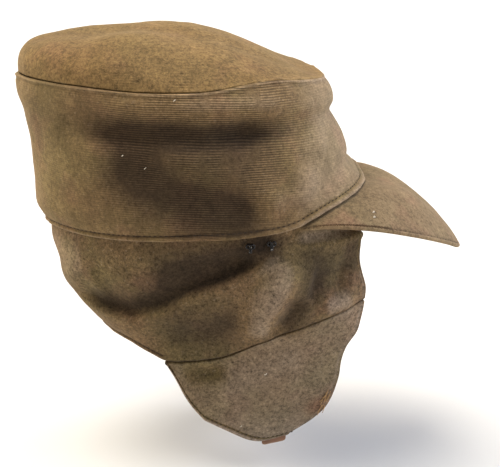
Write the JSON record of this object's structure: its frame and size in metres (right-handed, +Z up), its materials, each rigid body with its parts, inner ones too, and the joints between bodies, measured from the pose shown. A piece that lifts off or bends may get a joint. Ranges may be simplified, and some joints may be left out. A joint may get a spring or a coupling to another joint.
{
  "type": "ski cap",
  "caption": "Soft cloth ski cap worn on the head, with a stiff curved peak and a neck and chin curtain folded down round the face.",
  "frame": {"origin": "middle of the head opening, level with the crown's lower edge at the temples, where a head holds the cap", "axes": "+X forwards out of the face, +Y to the wearer's left, +Z up out of the crown"},
  "size_m": [0.2798, 0.1662, 0.271],
  "materials": {
    "serge": "worn khaki wool serge",
    "serge_peak": "faded khaki wool serge over board",
    "serge_lined": "worn khaki wool serge, two layers",
    "leather": "reddish brown, worn",
    "blackened_metal": "blackened, worn"
  },
  "bodies": {
    "root": {"crown_top": "serge", "crown_side": "serge", "peak": "serge_peak", "neck_curtain": "serge_lined", "chin_panel_left": "serge_lined", "chin_panel_right": "serge_lined", "chin_tab": "leather", "hook_left_back": "blackened_metal", "hook_left_front": "blackened_metal", "hook_right_back": "blackened_metal", "hook_right_front": "blackened_metal"}
  },
  "joints": []
}
